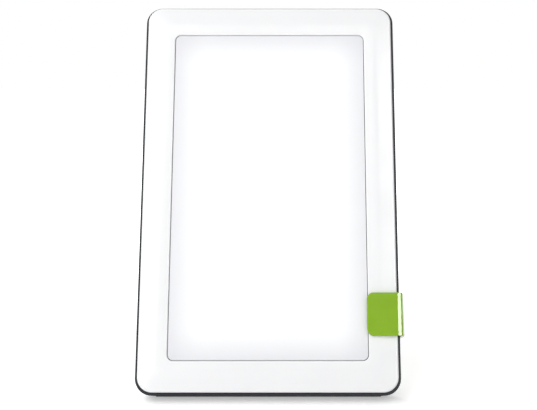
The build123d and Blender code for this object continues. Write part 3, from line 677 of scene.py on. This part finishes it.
# %% [markdown]
# The clip's stations start at the tab's end. They lie close together there, where its corners
# turn. Before the front bend the tab has a narrow facet, which flashes when light comes from the
# right. The side bulges outwards as an arc, and the plate behind it runs back to the hinge.

# %% Corners and arcs in a section


def rounded_corner(before, corner, after, radius, steps):
    """Points of the arc that rounds a corner between two straight runs."""
    before, corner, after = (np.array(point, float) for point in (before, corner, after))
    back = (before - corner) / np.linalg.norm(before - corner)
    ahead = (after - corner) / np.linalg.norm(after - corner)
    half = math.acos(float(back @ ahead)) / 2
    bisector = (back + ahead) / np.linalg.norm(back + ahead)
    centre = corner + bisector * radius / math.sin(half)
    first = corner + back * radius / math.tan(half) - centre
    last = corner + ahead * radius / math.tan(half) - centre
    turn = math.pi - 2 * half
    return [tuple(centre + (first * math.sin((1 - share) * turn) + last * math.sin(share * turn))
                  / math.sin(turn)) for share in np.linspace(0, 1, steps)]


def arc_through(first, middle_point, last, steps):
    """Points of the circle arc from first over a middle point to last."""
    (ax, ay), (bx, by), (cx, cy) = first, middle_point, last
    double = 2 * (ax * (by - cy) + bx * (cy - ay) + cx * (ay - by))
    squares = [x * x + y * y for x, y in (first, middle_point, last)]
    centre = ((squares[0] * (by - cy) + squares[1] * (cy - ay) + squares[2] * (ay - by)) / double,
              (squares[0] * (cx - bx) + squares[1] * (ax - cx) + squares[2] * (bx - ax)) / double)
    start = math.degrees(math.atan2(ay - centre[1], ax - centre[0]))
    end = math.degrees(math.atan2(cy - centre[1], cx - centre[0]))
    return arc(centre, math.hypot(ax - centre[0], ay - centre[1]), start, end, steps)


# %% Clip
clip_low, clip_high = -86.7, -61.3
clip_edge, clip_inner = 58.1, 78.2
clip_thickness, clip_gap = 2.1, 0.2
lamp_depth = 22.0
facet_start, shoulder, bulge_top = 76.2, 78.8, 81.09
shoulder_drop = 0.55
bend_radius, inner_bend, crease_round = 1.2, 0.4, 1.2
edge_round = 0.4
corner_radius = 4.0
hinge_u, hinge_t = 56.5, 25.5
crease_space, fold_space = 0.3, 0.5
plate_steps = [8.0, 16.0]
far_away = 99.0

tab_front = -clip_gap - clip_thickness
plate_back = lamp_depth + clip_gap + clip_thickness
side_arc = arc_through((shoulder, tab_front + shoulder_drop), (bulge_top, lamp_depth / 2),
                       (shoulder, plate_back), 25)
facet_crease = rounded_corner((clip_edge, tab_front), (facet_start, tab_front), side_arc[0],
                              crease_round, 4)
front_bend = rounded_corner((facet_start, tab_front), side_arc[0], side_arc[1], bend_radius, 9)
rear_bend = rounded_corner(side_arc[-2], side_arc[-1], (hinge_u, plate_back), bend_radius, 9)
outer_fold = facet_crease + front_bend + side_arc[2:-2] + rear_bend
fold_front = rounded_corner((clip_edge, -clip_gap), (clip_inner, -clip_gap),
                            (clip_inner, lamp_depth), inner_bend, len(front_bend))
fold_rear = [(u, lamp_depth - t) for u, t in reversed(fold_front)]
inner_fold = ([(u, -clip_gap) for u, t in facet_crease] + fold_front
              + [(clip_inner, min(max(t, fold_space), lamp_depth - fold_space))
                 for u, t in side_arc[2:-2]]
              + fold_rear)
tab_length = facet_crease[0][0] - clip_edge
near_end = [corner_radius * (1 - math.cos(a)) for a in np.linspace(0, math.pi / 2, 14)]
edge_steps = [0.0, 0.03, 0.08, 0.15, 0.25, edge_round]
flat_steps = list(np.linspace(corner_radius, tab_length - crease_space, 5))
distances = sorted(set(edge_steps + near_end + flat_steps))
stations = [((clip_edge + distance, -clip_gap), (clip_edge + distance, tab_front), distance,
             far_away) for distance in distances]
stations += [(inner, outer, far_away, far_away) for inner, outer in zip(inner_fold, outer_fold)]
for distance in sorted(edge_steps + plate_steps, reverse=True):
    u = hinge_u + distance
    stations.append(((u, lamp_depth + clip_gap), (u, plate_back), far_away, distance))
clip_shape = Shape().loft(folded_blank(stations, clip_low, clip_high, edge_round,
                                       (corner_radius, corner_radius, 0.0, 0.0)))
print("clip stations:", len(stations))

# %% [markdown]
# A hinge knuckle is a short barrel. Anything round about an axis is a lathe shape: a profile of
# distance along the axis and radius, turned in equal steps. The same helper makes the hinge's
# barrels, the button's cap and its ring.

# %% Lathe and knuckles


def turned(shape, centre, axis, side, profile, steps=40, ring=False):
    """Add a lathe shape. The profile holds pairs of distance along axis and radius, in mm."""
    other = axis.cross(side)
    loops = []
    for along_axis, radius in profile:
        loops.append([centre + axis * along_axis * mm
                      + (side * math.cos(2 * math.pi * k / steps)
                         + other * math.sin(2 * math.pi * k / steps)) * radius * mm
                      for k in range(steps)])
    return shape.loft(loops, ring=ring)


knuckle_length = (clip_high - clip_low) / 4
knuckle_radius, knuckle_gap = 3.0, 0.2
pin_radius, bore_play = 1.25, 0.08


def barrel(shape, low, high, bore):
    """Add a barrel of the hinge, from height low to high, with soft edges and a bore."""
    radius, soft = knuckle_radius, 0.3
    profile = [(low, bore), (low, radius - soft), (low + soft * 0.3, radius - soft * 0.3),
               (low + soft, radius), (high - soft, radius),
               (high - soft * 0.3, radius - soft * 0.3), (high, radius - soft), (high, bore)]
    turned(shape, at(hinge_u * mm, 0, hinge_t * mm), up, across, profile, ring=True)


barrel(clip_shape, clip_low, clip_low + knuckle_length, pin_radius)
barrel(clip_shape, clip_high - knuckle_length, clip_high, pin_radius)
place_piece("clip_u", clip_shape.mesh("clip_u"), "stand_green", "clip", "stand_clip")

# %% [markdown]
# The leg is the same kind of blank, but straight: it leaves the hinge at 62 degrees behind the
# lamp. Only its high corner is round, because the low one sits in a rubber shoe. A narrower
# tongue joins the plate to its own barrel, and a small heel behind it meets the clip's plate, so
# that the leg stops at its open angle.

# %% Leg
leg_angle = math.radians(62)
leg_length, leg_thickness = 91.0, 2.4
root = 3.6
leg_steps, tongue_steps = [20.0, 40.0, 60.0], [1.4, 3.0, root + 1]
heel_play, heel_depth = 0.1, 2.0
no_corners = (0.0,) * 4
knuckle_low = knuckle_length + knuckle_gap
leg_way = np.array((-math.cos(leg_angle), math.sin(leg_angle)))
leg_side = np.array((math.sin(leg_angle), math.cos(leg_angle)))
hinge = np.array((hinge_u, hinge_t))


def leg_stations(start, end, distances):
    """Stations of a straight plate from start to end along the leg."""
    found = []
    for distance in distances:
        middle_line = hinge + leg_way * distance
        found.append((middle_line + leg_side * leg_thickness / 2,
                      middle_line - leg_side * leg_thickness / 2,
                      distance - start, end - distance))
    return found


near_end = [leg_length - corner_radius * (1 - math.cos(a)) for a in np.linspace(0, math.pi / 2, 14)]
leg_distances = sorted(set([root + step for step in edge_steps] + leg_steps
                           + [leg_length - step for step in edge_steps] + near_end))
leg_shape = Shape().loft(folded_blank(leg_stations(root, leg_length, leg_distances),
                                      clip_low, clip_high, edge_round,
                                      (0.0, 0.0, 0.0, corner_radius)))
tongue_low, tongue_high = clip_low + knuckle_low, clip_high - knuckle_low
leg_shape.loft(folded_blank(leg_stations(-far_away, far_away, tongue_steps),
                            tongue_low, tongue_high, edge_round, no_corners))
barrel(leg_shape, tongue_low, tongue_high, pin_radius + bore_play)
heel_front = plate_back + heel_play
heel = [((hinge_u + reach, heel_front), (hinge_u + reach, heel_front + heel_depth), far_away, end)
        for reach, end in ((2.0, 9.0), (7.1, 0.4), (7.25, 0.25), (7.42, 0.08), (7.5, 0.0))]
leg_shape.loft(folded_blank(heel, tongue_low, tongue_high, edge_round, no_corners))
place_piece("leg_plate", leg_shape.mesh("leg_plate"), "stand_green", "leg", "stand_leg")

# %% [markdown]
# The button is pressed with a fingertip, so its face is dished by less than half a millimetre
# and its edge is rolled. Its flange, behind the shell's wall, keeps it from falling out. The
# ring round it stands a little proud, with a chamfer inside and out.

# %% Button and ring
button_u, button_v = (float(value) / mm for value in button_middle[:2])
button_radius, button_back = 7.9, 22.9
flange_depths = (19.0, 19.9)
flange_radius, cap_wall = 9.3, 1.6
stem_radius, stem_front, roof = 1.9, 15.3, 21.5
hole_radius, ring_outer = 8.2, 9.9
axis_hole = 0.01
cap_profile = [(stem_front, axis_hole), (stem_front, stem_radius), (roof, stem_radius),
               (roof, button_radius - cap_wall), (flange_depths[0], button_radius - cap_wall),
               (flange_depths[0], flange_radius), (flange_depths[1], flange_radius),
               (flange_depths[1], button_radius)]
rolled_edge = [(0.5, 0.0), (0.24, 0.08), (0.08, 0.24), (0.0, 0.55), (0.03, 1.1), (0.14, 2.2)]
dished_face = [(0.26, 4.0), (0.34, 2.0), (0.36, axis_hole)]
cap_profile += [(button_back - below, button_radius - inward) for below, inward in rolled_edge]
cap_profile += [(button_back - below, radius) for below, radius in dished_face]
button_spot = at(button_u * mm, button_v * mm, 0)
cap_shape = turned(Shape(), button_spot, -out, across, cap_profile, steps=64)
place_piece("button_cap", cap_shape.mesh("button_cap"), "button_grey", "button", "power_button")

ring_floor, ring_top = 21.4, 22.2
ring_profile = [(ring_floor, hole_radius), (ring_floor, ring_outer), (ring_top - 0.15, ring_outer),
                (ring_top, ring_outer - 0.15), (ring_top, ring_outer - 0.9),
                (ring_top - 0.1, hole_radius + 0.4), (ring_top - 0.3, hole_radius)]
ring_shape = turned(Shape(), button_spot, -out, across, ring_profile, steps=64, ring=True)
place_piece("button_trim", ring_shape.mesh("button_trim", 20), "ring_silver", "lamp",
            "button_ring")

# %% [markdown]
# What repeats is made once and copied by Geometry Nodes. A small class builds such a tree, with
# named inputs for its sizes. Its last two nodes make the copies real and dress them, and the
# result is read back as a plain mesh, because an export would drop live copies.

# %% Pattern kit
kinds = {int: "NodeSocketInt", float: "NodeSocketFloat", tuple: "NodeSocketVector",
         bpy.types.Object: "NodeSocketObject"}


class Pattern(Nodes):
    """A Geometry Nodes tree. Its inputs are given by name with the values they start from."""

    def __init__(self, name, **inputs):
        super().__init__(bpy.data.node_groups.new(name, "GeometryNodeTree"))
        self.inputs = {}
        for way in ("INPUT", "OUTPUT"):
            self.tree.interface.new_socket("Geometry", in_out=way,
                                           socket_type="NodeSocketGeometry")
        for title, value in inputs.items():
            kind = next(kinds[sort] for sort in kinds if isinstance(value, sort))
            made = self.tree.interface.new_socket(title.replace("_", " "), in_out="INPUT",
                                                  socket_type=kind)
            self.inputs[made.identifier] = value
        self.start = self.tree.nodes.new("NodeGroupInput").outputs
        self.result = self.tree.nodes.new("NodeGroupOutput").inputs

    def given(self, title):
        """One of the tree's named inputs."""
        return Value(self, self.start[title])

    def mesh(self, name, copies, slot, start_mesh):
        """Finish the tree, run it on start_mesh with its inputs, and return a plain mesh."""
        real = self.node("GeometryNodeRealizeInstances", None, {"Geometry": copies})
        dressed = self.node("GeometryNodeSetMaterial", None,
                            {"Geometry": real, "Material": finishes[slot].material})
        self.tree.links.new(dressed.socket, self.result[0])
        holder = bpy.data.objects.new(name, start_mesh)
        bpy.context.scene.collection.objects.link(holder)
        nodes = holder.modifiers.new(name, "NODES")
        nodes.node_group = self.tree
        for identifier, value in self.inputs.items():
            nodes[identifier] = value
        seen = holder.evaluated_get(bpy.context.evaluated_depsgraph_get())
        plain = bpy.data.meshes.new_from_object(seen)
        bpy.data.objects.remove(holder)
        plain.shade_smooth()
        plain.set_sharp_from_angle(angle=math.radians(35))
        return plain


def points_mesh(name, points):
    """A mesh of loose points, for copies to stand on."""
    mesh = bpy.data.meshes.new(name)
    mesh.from_pydata([tuple(point) for point in points], [], [])
    return mesh


# %% [markdown]
# Six pan-head screws hold the rear shell, each in its own pit. One screw is lofted with a cross
# recess for the driver: circles from the tip to the top of the head, then three loops in the
# shape of a cross that go down into it. The tree sets a copy in each pit and turns it by its own
# amount, as a driver leaves it.

# %% One screw
cross_width, cross_reach, cross_depth = 0.36, 1.25, 1.0
arm_angles = [-45, -31, -math.degrees(math.atan2(cross_width, cross_reach)), -8]
arm_angles += [-angle for angle in reversed(arm_angles[1:])]
screw_angles = [90 * arm + angle for arm in range(4) for angle in arm_angles]


def screw_loop(radius, depth, cross=False):
    """A circle about the screw's axis, or the outline of a cross whose arms reach radius."""
    loop = []
    for angle in screw_angles:
        reach = radius
        if cross:
            from_arm = math.radians((angle + 45) % 90 - 45)
            narrow = cross_width * radius / cross_reach
            reach = min(radius / math.cos(from_arm), narrow / max(abs(math.sin(from_arm)), 1e-6))
        turn = math.radians(angle)
        loop.append((across * math.cos(turn) + up * math.sin(turn)) * reach * mm
                    - out * depth * mm)
    return loop


shank, head, seat, top, tip = 1.3, 2.4, 18.5, 20.3, 5.2
screw_profile = [(0.5, tip), (shank, tip + 0.8), (shank, seat), (head - 0.1, seat),
                 (head, seat + 0.1), (head, top - 0.7), (head - 0.12, top - 0.36),
                 (head - 0.36, top - 0.12), (head - 0.7, top)]
screw_loops = [screw_loop(reach, depth) for reach, depth in screw_profile]
screw_loops += [screw_loop(cross_reach, top, cross=True),
                screw_loop(cross_reach * 0.94, top - 0.15, cross=True),
                screw_loop(cross_reach * 0.45, top - cross_depth, cross=True)]
screw = bpy.data.objects.new("screw", Shape().loft(screw_loops).mesh("screw"))
print("one screw:", len(screw.data.polygons), "faces")

# %% Screws in their pits
post_u, post_v = 71.4, 114.3
pits = [at(side * post_u * mm, row * post_v * mm, 0) for side in (-1, 1) for row in (-1, 0, 1)]
screws = Pattern("screws in pits", Screw=screw, Axis=tuple(out), Most_turned=math.radians(80),
                 Seed=7)
amount = screws.node("FunctionNodeRandomValue", {"data_type": "FLOAT"},
                     {"Max": screws.given("Most turned"), "Seed": screws.given("Seed")}, output=1)
turning = screws.node("FunctionNodeAxisAngleToRotation", None,
                      {"Axis": screws.given("Axis"), "Angle": amount})
shape = screws.node("GeometryNodeObjectInfo", None, {"Object": screws.given("Screw")}, output=4)
on_points = screws.node("GeometryNodeInstanceOnPoints", None,
                        {"Points": screws.given("Geometry"), "Instance": shape,
                         "Rotation": turning})
place_piece("shell_screws", screws.mesh("shell_screws", on_points, "steel",
                                        points_mesh("pits", pits)),
            "steel", "lamp", "housing_screws")
bpy.data.objects.remove(screw)

# %% [markdown]
# The leg's low corner sits in a rubber shoe, cut level with the table. The shoe is a loft of
# rounded rectangles, stacked up the lamp, and the plane of the table cuts it. Low ribs on both
# faces give a finger some grip, and Geometry Nodes lay them along a line.

# %% Rubber shoe
shoe_near, shoe_far = 78.2, 92.2
shoe_top, shoe_low = clip_low + 9.0, clip_low - 8.0
shoe_half, shoe_round, rib_height = 2.4, 1.2, 0.35
shoe_steps, sliver = 6, 0.05


def leg_point(distance, side, height):
    """A point so far along the leg and to its side, at a height up the lamp, in mm."""
    u, t = hinge + leg_way * distance + leg_side * side
    return at(u * mm, height * mm, t * mm)


def shoe_loop(inset, height):
    """The shoe's outline at a height, drawn in by inset."""
    half = shoe_half - rib_height - inset
    outline = rounded_rectangle(shoe_near + inset, shoe_far - inset, -half, half,
                                min(shoe_round, half - sliver), shoe_steps)
    return [leg_point(distance, side, height) for distance, side in outline]


def cut_level(mesh):
    """Cut a mesh off level with the table, and close it there."""
    cutting = bmesh.new()
    cutting.from_mesh(mesh)
    everything = cutting.verts[:] + cutting.edges[:] + cutting.faces[:]
    cut = bmesh.ops.bisect_plane(cutting, geom=everything, plane_co=(0, 0, 0),
                                 plane_no=(0, 0, -1), clear_outer=True)
    rim = [part for part in cut["geom_cut"] if isinstance(part, bmesh.types.BMEdge)]
    bmesh.ops.contextual_create(cutting, geom=rim)
    bmesh.ops.recalc_face_normals(cutting, faces=cutting.faces)
    cutting.to_mesh(mesh)
    cutting.free()
    mesh.set_sharp_from_angle(angle=math.radians(35))
    return mesh


soft_top = [(0.0, 0.5), (0.07, 0.25), (0.25, 0.07), (0.5, 0.0)]
shoe_shape = Shape().loft([shoe_loop(0.0, shoe_low)]
                          + [shoe_loop(inset, shoe_top - below) for inset, below in soft_top])
place_piece("leg_shoe", cut_level(shoe_shape.mesh("leg_shoe")), "rubber_black", "leg",
            "leg_foot")

# %% Grip ribs
rib_count, rib_step, rib_radius, rib_sunk = 5, 1.9, 0.45, 0.1
rib_half_length = 5.2 * mm
rib_first = shoe_top - 2.4
grip = Pattern("ribs along a line", Count=rib_count, Step=tuple(up * -rib_step * mm),
               Half_bar=tuple((across * leg_way[0] - out * leg_way[1]) * rib_half_length),
               Radius=rib_radius * mm)
line_of_points = grip.node("GeometryNodeMeshLine", {"mode": "OFFSET"},
                           {"Count": grip.given("Count"), "Offset": grip.given("Step")})
opposite = grip.node("ShaderNodeVectorMath", {"operation": "SCALE"},
                     {0: grip.given("Half bar"), "Scale": -1.0})
bar = grip.node("GeometryNodeCurvePrimitiveLine", None,
                {"Start": opposite, "End": grip.given("Half bar")})
rim = grip.node("GeometryNodeCurvePrimitiveCircle", None,
                {"Resolution": 12, "Radius": grip.given("Radius")})
rod = grip.node("GeometryNodeCurveToMesh", None,
                {"Curve": bar, "Profile Curve": rim, "Fill Caps": True})
row = grip.node("GeometryNodeInstanceOnPoints", None, {"Points": line_of_points, "Instance": rod})
rows = grip.node("GeometryNodeInstanceOnPoints", None,
                 {"Points": grip.given("Geometry"), "Instance": row})
first_ribs = [leg_point((shoe_near + shoe_far) / 2, side, rib_first)
              for side in (shoe_half - rib_height - rib_sunk, rib_height + rib_sunk - shoe_half)]
place_piece("shoe_ribs", grip.mesh("shoe_ribs", rows, "rubber_black",
                                   points_mesh("rib rows", first_ribs)), "rubber_black", "leg")

# %% [markdown]
# The lamp itself stands on a rubber strip, let into a groove along its lower edge. It has round
# ends and tapers a little downwards, and the table's plane cuts it level too.

# %% Rubber strip
strip_half, strip_depth_half, strip_middle = 67.5, 1.2, 19.2
strip_top, strip_seat, strip_low = -119.7, -120.9, -123.0
strip_taper, strip_steps = 0.35, 8


def strip_loop(inset, height):
    """The strip's outline at a height, drawn in by inset."""
    half_length, half_depth = strip_half - inset, strip_depth_half - inset
    outline = rounded_rectangle(-half_length, half_length, -half_depth, half_depth,
                                half_depth - sliver, strip_steps)
    return [at(u * mm, height * mm, (strip_middle + depth) * mm) for u, depth in outline]


strip_shape = Shape().loft([strip_loop(0.0, strip_top), strip_loop(0.0, strip_seat),
                            strip_loop(strip_taper, strip_low)])
place_piece("foot_strip", cut_level(strip_shape.mesh("foot_strip")), "rubber_black", "lamp",
            "rubber_strip")

# %% [markdown]
# The floor is a large matt sheet that runs out of sight. A glow that only the camera and gloss
# see lifts it to paper white. The glow is weaker near the lamp, so that its shadow shows there.

# %% Floor
paper = Finish("studio_floor", (0.9, 0.9, 0.9), 0.9, Specular_IOR_Level=0.0,
               Emission_Strength=1.0)
paper.shades(paper.noise(0.2), (0.9, 0.9, 0.9), (0.92, 0.92, 0.92))
seen = paper.node("ShaderNodeLightPath", output="Is Camera Ray").largest(
    paper.node("ShaderNodeLightPath", output="Is Glossy Ray"))
from_lamp = paper.node("ShaderNodeVectorMath", {"operation": "LENGTH"}, {0: paper.place()},
                       output="Value")
glow_near, glow_far = 0.4, 1.0
shadow_near, shadow_far = 0.1, 0.36
lift = ease(paper, from_lamp, shadow_near, shadow_far) * (glow_far - glow_near) + glow_near
paper.feed("Emission Color", paper.mix(seen * lift, (0.0, 0.0, 0.0), (1.0, 1.0, 1.0)))
floor_size = 12.0
floor_mesh = bpy.data.meshes.new("floor")
floor_mesh.from_pydata([(x * floor_size, y * floor_size, 0.0)
                        for x, y in ((-1, -1), (1, -1), (1, 1), (-1, 1))], [], [(0, 1, 2, 3)])
floor_mesh.materials.append(paper.material)
floor = bpy.data.objects.new("floor", floor_mesh)
bpy.context.scene.collection.objects.link(floor)
print("floor:", 2 * floor_size, "m wide")

# %% [markdown]
# The studio is white to the camera, and much dimmer as a light: the soft boxes do most of that.
# Gloss and clear plastic see the same white as the camera.

# %% World
world = bpy.data.worlds.new("studio")
bpy.context.scene.world = world
world.use_nodes = True
world_fill = 0.46
sky = Nodes(world.node_tree)
background = sky.tree.nodes["Background"]
background.inputs["Color"].default_value = (1, 1, 1, 1)
to_camera, in_gloss, in_glass = (sky.node("ShaderNodeLightPath", output=ray)
                                 for ray in ("Is Camera Ray", "Is Glossy Ray",
                                             "Is Transmission Ray"))
strength = sky.node("ShaderNodeMapRange", None,
                    {"Value": to_camera.largest(in_gloss).largest(in_glass),
                     "To Min": world_fill, "To Max": 1.0})
sky.tree.links.new(strength.socket, background.inputs["Strength"])
print("world fill:", world_fill)

# %% [markdown]
# Soft boxes light the lamp. The key stands in front, to the left and high. A narrow strip on the
# right shows only in gloss, where it makes the clip's facet flash. A small one hangs above the
# camera. A fill stands low on the right, where it lifts the shade, and no gloss shows it. The last
# one stands behind, so that the back isn't in the dark when the lamp is turned round. Each one's
# power is worked out from its distance, so the numbers below say how bright a matt white card
# would look.

# %% Soft boxes
target = at(0, 0, 0.01)


def soft_box(name, place, size, card, gloss_only=False, no_gloss=False):
    """An area light aimed at the lamp, under which a white card square to it reaches card."""
    data = bpy.data.lights.new(name, "AREA")
    data.shape = "RECTANGLE"
    data.size, data.size_y = size
    away = Vector(place) - target
    data.energy = card * math.pi ** 2 * away.length_squared
    box = bpy.data.objects.new(name, data)
    box.rotation_euler = away.to_track_quat("Z", "Y").to_euler()
    box.location = place
    box.visible_diffuse = not gloss_only
    box.visible_glossy = not no_gloss
    bpy.context.scene.collection.objects.link(box)
    print(name, "power", round(data.energy, 1), "W")


def around(right, above, distance):
    """A place in front of the lamp, so many degrees right of and above straight ahead."""
    flat = out * math.cos(math.radians(above)) + up * math.sin(math.radians(above))
    return target + (flat * math.cos(math.radians(right))
                     + across * math.sin(math.radians(right))) * distance


soft_box("key", around(-32, 16, 1.6), (1.3, 1.3), 0.57)
soft_box("strip", around(31, 5, 1.2), (0.16, 0.9), 0.9, gloss_only=True)
soft_box("small", around(4, 17, 1.4), (0.22, 0.6), 0.045)
soft_box("fill", around(24, -8, 0.9), (0.6, 0.6), 0.085, no_gloss=True)
soft_box("rear", (-0.8, 1.4, 1.0), (1.0, 1.0), 0.5)

# %% [markdown]
# White things on white need an edge. In a studio a black card stands beside them, just out of
# view, and it shows as a dark line in the gloss along their sides. This card is seen by glossy
# rays alone. So it takes no light off the lamp, and the camera never shows it.

# %% Black card
card_side, card_front, card_back, card_height = 0.36, -0.25, 3.0, 1.1
velvet = Finish("black_card", (0.01, 0.01, 0.01), 0.9, Specular_IOR_Level=0.0)
velvet.gloss(velvet.noise(20 * mm), 0.85, 0.95)
card_mesh = bpy.data.meshes.new("black_card")
card_mesh.from_pydata([(card_side, card_front, 0.0), (card_side, card_back, 0.0),
                       (card_side, card_back, card_height), (card_side, card_front, card_height)],
                      [], [(0, 1, 2, 3)])
card_mesh.materials.append(velvet.material)
card = bpy.data.objects.new("black_card", card_mesh)
card.visible_camera = False
card.visible_diffuse = False
card.visible_shadow = False
bpy.context.scene.collection.objects.link(card)
print("black card", card_side, "m to the right")
